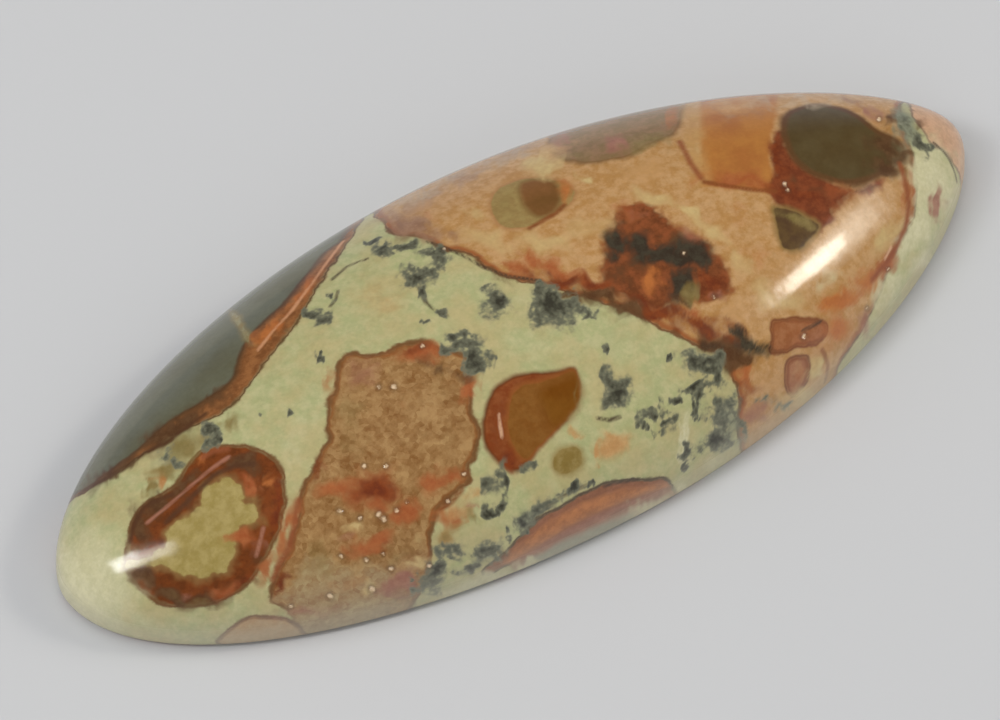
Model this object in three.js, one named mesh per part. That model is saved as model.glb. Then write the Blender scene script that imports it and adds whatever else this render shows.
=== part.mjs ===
// A long oval cabochon of patterned jasper: flat base, narrow bevel, low girdle and a polished dome.
// Millimetres, +Z up. The origin is the middle of the flat base, and +X runs along the stone.
import * as THREE from 'three';

// Driving dimensions.
const LENGTH = 42;
const WIDTH = 17.3;
const HEIGHT = 6.1;
const BEVEL_WIDTH = 0.3;
const BEVEL_HEIGHT = 0.25;
const GIRDLE_HEIGHT = 0.6;

// The outline is x = L/2 cos t, y = W/2 sin t ((sin^2 t + q^2) / (1 + q^2))^(p - 1/2), with one taper p for
// each end. With p at 0.5 an end is half an ellipse, and a larger p draws it in. The rounding q keeps a
// drawn-in tip blunt.
const LEFT_TAPER = 0.5;
const RIGHT_TAPER = 0.69;
const TIP_ROUNDING = 0.3;

// The dome's height over the girdle is H (1 - r^CROWN_FLATNESS)^(1 / SHOULDER_FULLNESS), where r runs from 0
// at the middle to 1 at the outline.
const CROWN_FLATNESS = 2.16;
const SHOULDER_FULLNESS = 2.1;

// Facets.
const SEGMENTS_ROUND = 96;
const RINGS_ON_DOME = 30;

// The section from the middle of the base out to the girdle and up over the dome, with radii as a share
// of the outline, so that 1 is the widest line of the stone.
function cabochonSection() {
  const domeHeight = HEIGHT - BEVEL_HEIGHT - GIRDLE_HEIGHT;
  const points = [new THREE.Vector2(0, 0), new THREE.Vector2(1, 0), new THREE.Vector2(1, BEVEL_HEIGHT)];
  for (let ring = 0; ring < RINGS_ON_DOME; ring += 1) {
    const radius = Math.cos((ring / RINGS_ON_DOME) * Math.PI * 0.5);
    const rise = Math.pow(1 - Math.pow(radius, CROWN_FLATNESS), 1 / SHOULDER_FULLNESS);
    points.push(new THREE.Vector2(radius, BEVEL_HEIGHT + GIRDLE_HEIGHT + domeHeight * rise));
  }
  points.push(new THREE.Vector2(0, HEIGHT));
  return points;
}

// Turns the round body of the section into the long oval: each ring takes the outline's shape, and the ring
// on the base is drawn in by the bevel.
function takeOutline(geometry) {
  const position = geometry.getAttribute('position');
  const roundingSquared = TIP_ROUNDING ** 2;
  for (let i = 0; i < position.count; i += 1) {
    const angle = Math.atan2(position.getX(i), position.getZ(i));
    const radius = Math.hypot(position.getX(i), position.getZ(i));
    const height = position.getY(i);
    const inset = height === 0 ? BEVEL_WIDTH : 0;
    const side = Math.sin(angle);
    const taper = Math.cos(angle) > 0 ? RIGHT_TAPER : LEFT_TAPER;
    const draw = Math.pow((side ** 2 + roundingSquared) / (1 + roundingSquared), taper - 0.5);
    const x = (LENGTH / 2 - inset) * radius * Math.cos(angle);
    const y = (WIDTH / 2 - inset) * radius * side * draw;
    position.setXYZ(i, x, y, height);
  }
  return geometry;
}

const cabochon = new THREE.Mesh(
  takeOutline(new THREE.LatheGeometry(cabochonSection(), SEGMENTS_ROUND)),
  new THREE.MeshStandardMaterial({ color: 0xb3a47c, roughness: 0.12, metalness: 0 }),
);
cabochon.name = 'cabochon';

const group = new THREE.Group();
group.add(cabochon);

export default group;
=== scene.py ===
"""A long oval cabochon of brecciated jasper, polished over its dome and ground matt under its base.

The stone's surface is worked out from the same few sizes as the solid that it stands for. Its pattern is a
list of clasts, seams, stains and dark growths. Each is placed where the studio camera sees it, carried onto
the surface, and stored as a distance or a strength that the stone's material reads.
"""

import logging
from dataclasses import dataclass
from enum import Enum

import bpy
import numpy as np
from mathutils import Matrix, Vector

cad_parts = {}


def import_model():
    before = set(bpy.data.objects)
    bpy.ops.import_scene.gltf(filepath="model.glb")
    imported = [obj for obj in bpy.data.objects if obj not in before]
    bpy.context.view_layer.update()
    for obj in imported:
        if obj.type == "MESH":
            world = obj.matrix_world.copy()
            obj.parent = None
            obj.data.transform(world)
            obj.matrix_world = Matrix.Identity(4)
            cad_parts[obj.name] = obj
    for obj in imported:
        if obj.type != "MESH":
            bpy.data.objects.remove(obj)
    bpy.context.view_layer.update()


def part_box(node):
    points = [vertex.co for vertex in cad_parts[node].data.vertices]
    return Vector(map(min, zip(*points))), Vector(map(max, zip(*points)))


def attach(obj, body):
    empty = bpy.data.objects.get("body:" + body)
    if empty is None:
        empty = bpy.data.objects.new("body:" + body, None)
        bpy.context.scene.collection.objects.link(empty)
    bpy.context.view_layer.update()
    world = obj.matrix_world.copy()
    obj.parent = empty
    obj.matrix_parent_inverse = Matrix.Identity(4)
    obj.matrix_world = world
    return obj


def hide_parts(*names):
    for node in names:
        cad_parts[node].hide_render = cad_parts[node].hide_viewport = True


LOG = logging.getLogger("cabochon")
MILLIMETRE = 0.001

# The screen's light curve: a straight toe, and a power past it.
SCREEN_WHITE = 255.0
SCREEN_TOE = 0.04045
SCREEN_SLOPE = 12.92
SCREEN_OFFSET = 0.055
SCREEN_POWER = 2.4
BLACK = (0.0, 0.0, 0.0, 1.0)

Pixel = tuple[float, float]
Direction = tuple[float, float, float]
LinearColour = tuple[float, float, float, float]
Socket = bpy.types.NodeSocket
Value = Socket | float | tuple[float, ...]


@dataclass(frozen=True)
class Colour:
    """A colour as it shows on the screen, from 0 to 255."""

    red: float
    green: float
    blue: float

    @property
    def linear(self) -> LinearColour:
        """The colour's linear light, as the shaders take it.

        Returns:
            Its red, green and blue from 0 to 1, and full cover.
        """
        parts = np.array([self.red, self.green, self.blue]) / SCREEN_WHITE
        low = parts / SCREEN_SLOPE
        high = ((parts + SCREEN_OFFSET) / (1.0 + SCREEN_OFFSET)) ** SCREEN_POWER
        light = np.where(parts <= SCREEN_TOE, low, high)
        return (*(float(part) for part in light), 1.0)


@dataclass(frozen=True)
class StudioView:
    """The camera: where it stands round the stone, how large it shows it, and the frame that it fills.

    Pixels are those of a frame 1000 wide and 720 high, counted from its top left corner. The distance and
    the sensor are in millimetres, and the two clips are in metres.
    """

    azimuth: float = -32.68
    elevation: float = 53.0
    distance: float = 840.0
    pixels_per_mm: float = 25.215
    origin_pixel: Pixel = (515.3, 375.1)
    frame: Pixel = (1000.0, 720.0)
    sensor_width: float = 36.0
    clip_near: float = 0.01
    clip_far: float = 20.0

    @property
    def axes(self) -> tuple[np.ndarray, np.ndarray, np.ndarray]:
        """The camera's own directions, from its azimuth and elevation.

        Returns:
            The unit directions to the right, up and backward.
        """
        turn, lift = np.radians([self.azimuth, self.elevation])
        right = np.array([np.cos(turn), np.sin(turn), 0.0])
        back = np.array([np.sin(turn) * np.cos(lift), -np.cos(turn) * np.cos(lift), np.sin(lift)])
        return right, np.cross(back, right), back

    @property
    def location(self) -> np.ndarray:
        """The camera's place, from which the stone's origin falls on its own pixel.

        Returns:
            The place in millimetres.
        """
        right, up, back = self.axes
        across = (self.frame[0] / 2 - self.origin_pixel[0]) / self.pixels_per_mm
        above = (self.origin_pixel[1] - self.frame[1] / 2) / self.pixels_per_mm
        return across * right + above * up + self.distance * back

    def project(self, points: np.ndarray) -> np.ndarray:
        """Finds the pixels on which points fall: their offsets from the camera's axis, over their depth.

        Args:
            points: Places in millimetres, one a row.

        Returns:
            Their pixels, one a row.
        """
        right, up, back = self.axes
        away = points - self.location
        scale = self.pixels_per_mm * self.distance / -(away @ back)
        return np.stack(
            [self.frame[0] / 2 + away @ right * scale, self.frame[1] / 2 - away @ up * scale], axis=1
        )

    def build(self) -> bpy.types.Object:
        """Makes the camera and gives it to the scene.

        Returns:
            The camera object.
        """
        lens = bpy.data.cameras.new("studio_camera")
        lens.sensor_width = self.sensor_width
        lens.lens = self.sensor_width * self.distance * self.pixels_per_mm / self.frame[0]
        lens.clip_start = self.clip_near
        lens.clip_end = self.clip_far
        camera = bpy.data.objects.new("studio_camera", lens)
        turn = Matrix([Vector(axis) for axis in self.axes]).transposed()
        camera.matrix_world = Matrix.Translation(self.location * MILLIMETRE) @ turn.to_4x4()
        bpy.context.scene.collection.objects.link(camera)
        bpy.context.scene.camera = camera
        return camera


def cut_corners(points: np.ndarray, rounds: int) -> np.ndarray:
    """Rounds an open line: each corner gives way to two points, a quarter of the way along its two sides.

    Args:
        points: The line's points, one a row.
        rounds: How many times the corners are cut.

    Returns:
        The rounded line, with the first and last points kept.
    """
    for _ in range(rounds):
        near = 0.75 * points[:-1] + 0.25 * points[1:]
        far = 0.25 * points[:-1] + 0.75 * points[1:]
        inner = np.stack([near, far], axis=1).reshape(-1, points.shape[1])
        points = np.concatenate([points[:1], inner[1:-1], points[-1:]])
    return points


def smooth_step(value: np.ndarray, low: float, high: float) -> np.ndarray:
    """Eases from 0 at low to 1 at high: 3 s squared less 2 s cubed, where s is the share of the way."""
    share = np.clip((value - low) / (high - low), 0.0, 1.0)
    return share * share * (3.0 - 2.0 * share)


@dataclass(frozen=True)
class StoneForm:
    """The stone's shape in millimetres: a dome over a girdle and a bevel, with a flat base.

    The outline is x = a cos t, y = b sin t ((sin t squared + q squared) / (1 + q squared)) to the power of
    (taper - 1/2), where a and b are half the length and width, each end has its own taper, and q rounds a
    tapered tip. The left end is drawn in a little more along its far side. The dome stands over the outline
    by (1 - r to the flatness) to the power of 1 over the fullness, where r runs from 0 to 1 at the outline.
    """

    length: float
    width: float
    height: float
    bevel_width: float = 0.3
    bevel_height: float = 0.25
    girdle_height: float = 0.6
    left_taper: float = 0.5
    far_left_taper: float = 0.6
    right_taper: float = 0.69
    tip_rounding: float = 0.3
    crown_flatness: float = 2.16
    shoulder_fullness: float = 2.1
    bevel_cuts: int = 3
    section_steps: int = 2001
    columns: int = 441
    rows: int = 181

    @property
    def girdle_top(self) -> float:
        """The height at which the dome starts."""
        return self.bevel_height + self.girdle_height

    def outline(self, angle: np.ndarray, inset: np.ndarray | float = 0.0) -> np.ndarray:
        """Finds places on the outline, drawn in by an inset.

        Args:
            angle: The outline's parameter t at each place.
            inset: How far half the length and half the width are drawn in.

        Returns:
            The places' x and y, one a row.
        """
        side = np.sin(angle)
        rounding = self.tip_rounding**2
        left = np.where(side > 0, self.far_left_taper, self.left_taper)
        taper = np.where(np.cos(angle) > 0, self.right_taper, left)
        draw = ((side**2 + rounding) / (1 + rounding)) ** (taper - 0.5)
        x = (self.length / 2 - inset) * np.cos(angle)
        y = (self.width / 2 - inset) * side * draw
        return np.stack([x, y], axis=1)

    def outward(self, angle: np.ndarray) -> np.ndarray:
        """Finds the outline's outward direction: its tangent, a quarter turn clockwise, at unit length.

        Args:
            angle: The outline's parameter t at each place.

        Returns:
            The directions' x and y, one a row.
        """
        step = 1e-4
        tangent = self.outline(angle + step) - self.outline(angle - step)
        turned = np.stack([tangent[:, 1], -tangent[:, 0]], axis=1)
        return turned / np.linalg.norm(turned, axis=1, keepdims=True)

    def dome(self, share: np.ndarray) -> np.ndarray:
        """The dome's height at a share of the way out to the outline."""
        rise = (1 - np.clip(share, 0, 1) ** self.crown_flatness) ** (1 / self.shoulder_fullness)
        return self.girdle_top + (self.height - self.girdle_top) * rise

    def section(self) -> tuple[np.ndarray, np.ndarray]:
        """Measures the dome's cross section from its middle out.

        Returns:
            Shares of the way out, and the length of the section up to each of them.
        """
        share = np.sin(np.linspace(0, np.pi / 2, self.section_steps))
        steps = np.hypot(np.diff(share) * self.width / 2, np.diff(self.dome(share)))
        return share, np.concatenate([[0.0], np.cumsum(steps)])

    def surface(self) -> "Surface":
        """Works out the stone's skin.

        The dome is a grid over the square from -1 to 1. Its places (x, y) go to the round disc as
        x sqrt(1 - y squared / 2) and y sqrt(1 - x squared / 2), and from there to the outline, with steps
        of equal length along the section. Rings of the rounded girdle and bevel hang from its edge.

        Returns:
            The skin's points, faces and unrolled places.
        """
        across, along = np.meshgrid(
            np.linspace(-1, 1, self.columns), np.linspace(-1, 1, self.rows), indexing="ij"
        )
        disc_x = (across * np.sqrt(1 - along**2 / 2)).ravel()
        disc_y = (along * np.sqrt(1 - across**2 / 2)).ravel()
        angle = np.arctan2(disc_y, disc_x)
        shares, lengths = self.section()
        run = np.minimum(np.hypot(disc_x, disc_y), 1.0) * lengths[-1]
        share = np.interp(run, lengths, shares)
        plan = self.outline(angle) * share[:, None]
        surplus = run - share * self.width / 2
        points = [np.column_stack([plan, self.dome(share)])]
        unrolled = [plan + surplus[:, None] * self.outward(angle)]

        index = np.arange(self.columns * self.rows).reshape(self.columns, self.rows)
        edge = np.concatenate([index[:, 0], index[-1, 1:], index[-2::-1, -1], index[0, -2:0:-1]])
        rim = angle[edge]
        corners = np.array([[0, self.girdle_top], [0, self.bevel_height], [self.bevel_width, 0]])
        wall = cut_corners(corners, self.bevel_cuts)
        down = lengths[-1] - self.width / 2 + np.cumsum(np.hypot(*np.diff(wall, axis=0).T))
        rings = [edge]
        for (inset, height), reach in zip(wall[1:], down):
            ring = self.outline(rim, inset)
            points.append(np.column_stack([ring, np.full(len(ring), height)]))
            unrolled.append(self.outline(rim) + reach * self.outward(rim))
            rings.append(index.size + (len(rings) - 1) * len(edge) + np.arange(len(edge)))

        sides = (index[:-1, :-1], index[1:, :-1], index[1:, 1:], index[:-1, 1:])
        quads = [np.stack(sides, axis=-1).reshape(-1, 4)]
        for upper, lower in zip(rings[:-1], rings[1:]):
            quads.append(np.stack([upper, lower, np.roll(lower, -1), np.roll(upper, -1)], axis=1))
        return Surface(
            points=np.concatenate(points),
            unrolled=np.concatenate(unrolled),
            quads=np.concatenate(quads),
            base=rings[-1][::-1],
        )


@dataclass
class Surface:
    """The stone's skin: its points in millimetres, and their places on the flat plan that it unrolls to.

    The quads and the one base face hold the numbers of their corners' points.
    """

    points: np.ndarray
    unrolled: np.ndarray
    quads: np.ndarray
    base: np.ndarray

    def mesh(self, name: str) -> bpy.types.Mesh:
        """Makes the skin a mesh, with a smooth dome and wall and one flat face for the base.

        Args:
            name: The mesh's name.

        Returns:
            The mesh, in metres.
        """
        mesh = bpy.data.meshes.new(name)
        mesh.vertices.add(len(self.points))
        mesh.vertices.foreach_set("co", (self.points * MILLIMETRE).astype(np.float32).ravel())
        corners = np.concatenate([self.quads.ravel(), self.base])
        sizes = np.full(len(self.quads) + 1, self.quads.shape[1])
        sizes[-1] = len(self.base)
        mesh.loops.add(len(corners))
        mesh.loops.foreach_set("vertex_index", corners.astype(np.int32))
        mesh.polygons.add(len(sizes))
        mesh.polygons.foreach_set("loop_start", (np.cumsum(sizes) - sizes).astype(np.int32))
        smooth = np.ones(len(sizes), dtype=bool)
        smooth[-1] = False
        mesh.update(calc_edges=True)
        mesh.polygons.foreach_set("use_smooth", smooth)
        mesh.update()
        return mesh


def smooth_loop(points: np.ndarray, steps: int = 6) -> np.ndarray:
    """Runs a closed curve through points: on each side, a cubic through its ends and their neighbours.

    Args:
        points: The curve's own points, one a row.
        steps: How many places are taken on each side.

    Returns:
        Places along the curve, one a row.
    """
    share = (np.arange(steps) / steps)[None, :, None]
    p0, p1, p2, p3 = (np.roll(points, shift, axis=0)[:, None, :] for shift in (1, 0, -1, -2))
    curve = 0.5 * (
        2 * p1
        + (p2 - p0) * share
        + (2 * p0 - 5 * p1 + 4 * p2 - p3) * share**2
        + (3 * p1 - p0 - 3 * p2 + p3) * share**3
    )
    return curve.reshape(-1, 2)


@dataclass(frozen=True)
class Bend:
    """A smooth random shift to and fro, the sum of plane waves.

    It holds the waves' middling length, how far a place is moved each way as a root mean square, the number
    that the waves are drawn from, their count, and the shortest and longest share of the middling length.
    """

    wavelength: float
    amount: float
    seed: int
    waves: int = 12
    shortest: float = 0.6
    longest: float = 1.7

    def move(self, places: np.ndarray) -> np.ndarray:
        """Moves places by the sum of the waves' sines, each at its own phase and in its own direction.

        Args:
            places: The places, one a row.

        Returns:
            The moved places.
        """
        draw = np.random.default_rng(self.seed)
        heading = draw.uniform(0, 2 * np.pi, self.waves)
        pace = 2 * np.pi / (self.wavelength * draw.uniform(self.shortest, self.longest, self.waves))
        slopes = np.stack([np.cos(heading), np.sin(heading)]) * pace
        phase = places @ slopes + draw.uniform(0, 2 * np.pi, self.waves)
        shift = np.sin(phase) @ draw.normal(size=(self.waves, 2))
        return places + shift * self.amount * np.sqrt(2 / self.waves)


def line_distance(places: np.ndarray, line: np.ndarray) -> np.ndarray:
    """Measures how far places are from an open line.

    Args:
        places: The places, one a row.
        line: The line's points, one a row.

    Returns:
        Each place's distance from the nearest side of the line.
    """
    nearest = np.full(len(places), np.inf)
    least = 1e-12
    for start, end in zip(line[:-1], line[1:]):
        side = end - start
        share = np.clip((places - start) @ side / max(side @ side, least), 0, 1)
        nearest = np.minimum(nearest, np.linalg.norm(places - start - share[:, None] * side, axis=1))
    return nearest


def signed_distance(places: np.ndarray, loop: np.ndarray, reach: float) -> np.ndarray:
    """Measures how far places are outside a closed loop, with places inside it below zero.

    Args:
        places: The places, one a row.
        loop: The loop's points, one a row.
        reach: The distance past which no place is measured, and which such places are given.

    Returns:
        Each place's distance from the loop, at most reach.
    """
    near = np.all((places > loop.min(0) - reach) & (places < loop.max(0) + reach), axis=1)
    close = places[near]
    inside = np.zeros(len(close), dtype=bool)
    closed = np.concatenate([loop, loop[:1]])
    for start, end in zip(closed[:-1], closed[1:]):
        if start[1] == end[1]:
            continue
        crosses = (start[1] > close[:, 1]) != (end[1] > close[:, 1])
        meets = start[0] + (close[:, 1] - start[1]) / (end[1] - start[1]) * (end[0] - start[0])
        inside ^= crosses & (close[:, 0] < meets)
    away = line_distance(close, closed)
    distance = np.full(len(places), reach)
    distance[near] = np.minimum(np.where(inside, -away, away), reach)
    return distance


class Grain(Enum):
    """The fine texture that mixes a clast's two colours, by the name of the noises' output."""

    CLOUD = "Cloud"
    MOTTLE = "Mottle"
    CRYSTALS = "Crystals"


@dataclass(frozen=True)
class ClastFinish:
    """How a kind of clast is coloured, from its seam in. Lengths are in millimetres."""

    body: Colour
    fleck: Colour
    rim: Colour | None = None
    rim_width: float = 0.0
    seam: Colour | None = None
    seam_width: float = 0.0
    wander: float = 0.12
    softness: float = 0.13
    grain: Grain = Grain.MOTTLE


@dataclass(frozen=True)
class Clast:
    """One closed area of the pattern. Its outline runs through the pixels on which the camera sees it."""

    name: str
    finish: ClastFinish
    outline: tuple[Pixel, ...]


@dataclass(frozen=True)
class Spot:
    """A soft oval mark: the pixel of its middle, its half width and half height in pixels, and its tilt."""

    x: float
    y: float
    wide: float
    high: float
    tilt: float = 0.0
    strength: float = 1.0

    def nearness(self, pixels: np.ndarray) -> np.ndarray:
        """Rates pixels by the spot: its strength in its middle, half of it at its edge, then quickly 0.

        Args:
            pixels: The pixels, one a row.

        Returns:
            A rating for each pixel.
        """
        turn = np.radians(self.tilt)
        right = pixels[:, 0] - self.x
        above = self.y - pixels[:, 1]
        across = (right * np.cos(turn) + above * np.sin(turn)) / self.wide
        along = (above * np.cos(turn) - right * np.sin(turn)) / self.high
        return self.strength * np.exp2(-(across**2 + along**2))


@dataclass(frozen=True)
class Pit:
    """A small pit, painted with shade round it and a glint in it: its middle's pixel, and its radius in
    pixels.
    """

    x: float
    y: float
    radius: float


@dataclass(frozen=True)
class Stain:
    """A colour that lies over the clasts where its spots are."""

    name: str
    colour: Colour
    fleck: Colour
    spots: tuple[Spot, ...]


@dataclass(frozen=True)
class Seam:
    """A family of thin lines of one colour and half width in millimetres, through pixels."""

    name: str
    colour: Colour
    half_width: float
    lines: tuple[tuple[Pixel, ...], ...]


RUSSET = ClastFinish(
    body=Colour(174, 130, 78), fleck=Colour(190, 150, 104), rim=Colour(150, 92, 54), rim_width=0.3,
    seam=Colour(100, 62, 38), seam_width=0.12, wander=0.14,
)
OLIVE_TAN = ClastFinish(
    body=Colour(154, 132, 82), fleck=Colour(146, 120, 74), rim=Colour(168, 124, 80), rim_width=0.14,
    wander=0.05, softness=0.16,
)
BROWN = ClastFinish(
    body=Colour(112, 78, 42), fleck=Colour(126, 86, 50), wander=0.05, softness=0.24, grain=Grain.CLOUD
)
EDGE_OLIVE = ClastFinish(
    body=Colour(130, 104, 68), fleck=Colour(144, 112, 80), rim=Colour(122, 90, 54), rim_width=0.2,
    wander=0.12, softness=0.2,
)
ORANGE = ClastFinish(
    body=Colour(176, 118, 60), fleck=Colour(164, 104, 54), wander=0.06, softness=0.16,
    grain=Grain.CLOUD,
)
PALE_VEIN = ClastFinish(
    body=Colour(186, 146, 92), fleck=Colour(178, 134, 82), wander=0.16, softness=0.4
)
MAROON = ClastFinish(body=Colour(132, 70, 42), fleck=Colour(110, 58, 36), wander=0.24, softness=0.22)
DARK_OLIVE = ClastFinish(
    body=Colour(90, 76, 49), fleck=Colour(84, 68, 41), rim=Colour(98, 68, 42), rim_width=0.34,
    wander=0.04, softness=0.16, grain=Grain.CLOUD,
)
UMBER = ClastFinish(
    body=Colour(86, 64, 44), fleck=Colour(96, 74, 46), rim=Colour(136, 108, 64), rim_width=0.14,
    wander=0.08, softness=0.16,
)
RED_BLACK = ClastFinish(body=Colour(138, 78, 46), fleck=Colour(108, 62, 36), wander=0.3, softness=0.24)
BRICK = ClastFinish(
    body=Colour(148, 92, 56), fleck=Colour(162, 108, 72), rim=Colour(134, 78, 48), rim_width=0.16,
    seam=Colour(122, 70, 44), seam_width=0.09, wander=0.12, softness=0.16,
)
BRICK_RING = ClastFinish(
    body=Colour(168, 120, 82), fleck=Colour(158, 104, 70), rim=Colour(136, 82, 52), rim_width=0.24,
    seam=Colour(118, 72, 46), seam_width=0.09, wander=0.08, softness=0.16,
)
GREY_BAND = ClastFinish(
    body=Colour(148, 98, 58), fleck=Colour(120, 76, 44), rim=Colour(128, 80, 46), rim_width=0.14,
    seam=Colour(84, 58, 34), seam_width=0.09, wander=0.14, softness=0.16,
)
GREY_GREEN = ClastFinish(
    body=Colour(102, 102, 84), fleck=Colour(96, 94, 74), rim=Colour(88, 64, 42), rim_width=0.24,
    wander=0.06, softness=0.18, grain=Grain.CLOUD,
)
GREY_VEIN = ClastFinish(
    body=Colour(140, 122, 80), fleck=Colour(152, 144, 108), wander=0.1, softness=0.2
)
RING = ClastFinish(
    body=Colour(122, 64, 30), fleck=Colour(100, 54, 26), rim=Colour(112, 68, 36), rim_width=0.14,
    seam=Colour(104, 66, 36), seam_width=0.12, wander=0.1, softness=0.16,
)
RING_CORE = ClastFinish(
    body=Colour(168, 150, 94), fleck=Colour(152, 134, 76), rim=Colour(136, 104, 62), rim_width=0.16,
    wander=0.26, softness=0.24,
)
GRANULAR = ClastFinish(
    body=Colour(130, 90, 50), fleck=Colour(170, 134, 88), rim=Colour(136, 86, 46), rim_width=0.2,
    seam=Colour(104, 64, 34), seam_width=0.15, wander=0.15, softness=0.16, grain=Grain.CRYSTALS,
)
GRANULAR_PALE = ClastFinish(
    body=Colour(174, 152, 110), fleck=Colour(146, 112, 76), wander=0.5, softness=0.45,
    grain=Grain.CRYSTALS,
)
AMBER_RIM = ClastFinish(
    body=Colour(124, 62, 30), fleck=Colour(138, 78, 42), rim=Colour(104, 56, 28), rim_width=0.16,
    wander=0.06, softness=0.14,
)
AMBER = ClastFinish(
    body=Colour(132, 88, 40), fleck=Colour(124, 78, 32), rim=Colour(140, 84, 40), rim_width=0.12,
    wander=0.06, softness=0.16,
)
AMBER_SHADE = ClastFinish(
    body=Colour(112, 66, 18), fleck=Colour(122, 78, 26), wander=0.1, softness=0.34, grain=Grain.CLOUD
)
OLIVE = ClastFinish(
    body=Colour(132, 110, 58), fleck=Colour(148, 128, 78), rim=Colour(152, 134, 86), rim_width=0.12,
    wander=0.12, softness=0.2,
)
LENS_RUST = ClastFinish(
    body=Colour(132, 84, 56), fleck=Colour(146, 96, 68), rim=Colour(100, 68, 50), rim_width=0.1,
    seam=Colour(74, 58, 46), seam_width=0.09, wander=0.08,
)
LENS_ORANGE = ClastFinish(
    body=Colour(180, 116, 70), fleck=Colour(156, 100, 62), wander=0.1, softness=0.16
)
LENS_RED = ClastFinish(body=Colour(140, 84, 60), fleck=Colour(156, 98, 74), wander=0.1, softness=0.16)
LENS_PINK = ClastFinish(
    body=Colour(154, 116, 90), fleck=Colour(162, 112, 88), wander=0.08, softness=0.22
)
LENS_GREY = ClastFinish(
    body=Colour(146, 144, 124), fleck=Colour(138, 132, 112), wander=0.08, softness=0.26
)
EDGE_LENS = ClastFinish(
    body=Colour(172, 138, 98), fleck=Colour(178, 150, 114), rim=Colour(140, 102, 72), rim_width=0.16,
    seam=Colour(112, 78, 58), seam_width=0.11, wander=0.08,
)
END_CAP = ClastFinish(
    body=Colour(202, 160, 126), fleck=Colour(186, 146, 112), seam=Colour(124, 94, 74), seam_width=0.14,
    wander=0.1,
)

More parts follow.
